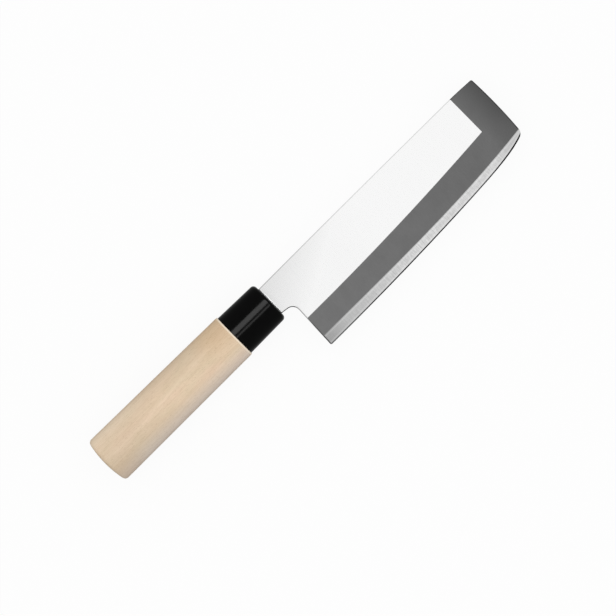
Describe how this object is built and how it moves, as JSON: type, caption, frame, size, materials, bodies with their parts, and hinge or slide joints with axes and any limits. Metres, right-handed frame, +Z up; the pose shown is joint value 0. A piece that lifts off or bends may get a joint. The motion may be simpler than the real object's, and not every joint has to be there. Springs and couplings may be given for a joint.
{
  "type": "nakiri knife",
  "caption": "Square-ended vegetable knife: laminated steel blade with a hidden tang, black resin ferrule and oval wooden grip.",
  "frame": {"origin": "on the plane the knife's handle lies on, under the middle of the whole knife", "axes": "+X from the butt to the tip, +Y from the cutting edge to the spine, +Z up, the normal of the blade's right face"},
  "size_m": [0.3065, 0.0584, 0.0235],
  "materials": {
    "hard_steel": "ground across the edge",
    "cladding_steel": "satin flats, darker ground facets",
    "magnolia_wood": "smooth, unvarnished",
    "black_resin": "moulded, semi-gloss",
    "cured_adhesive": "cast in place"
  },
  "bodies": {
    "root": {"core_steel": "hard_steel", "cladding_right": "cladding_steel", "cladding_left": "cladding_steel", "grip": "magnolia_wood", "ferrule": "black_resin", "tang_bedding": "cured_adhesive"}
  },
  "joints": []
}
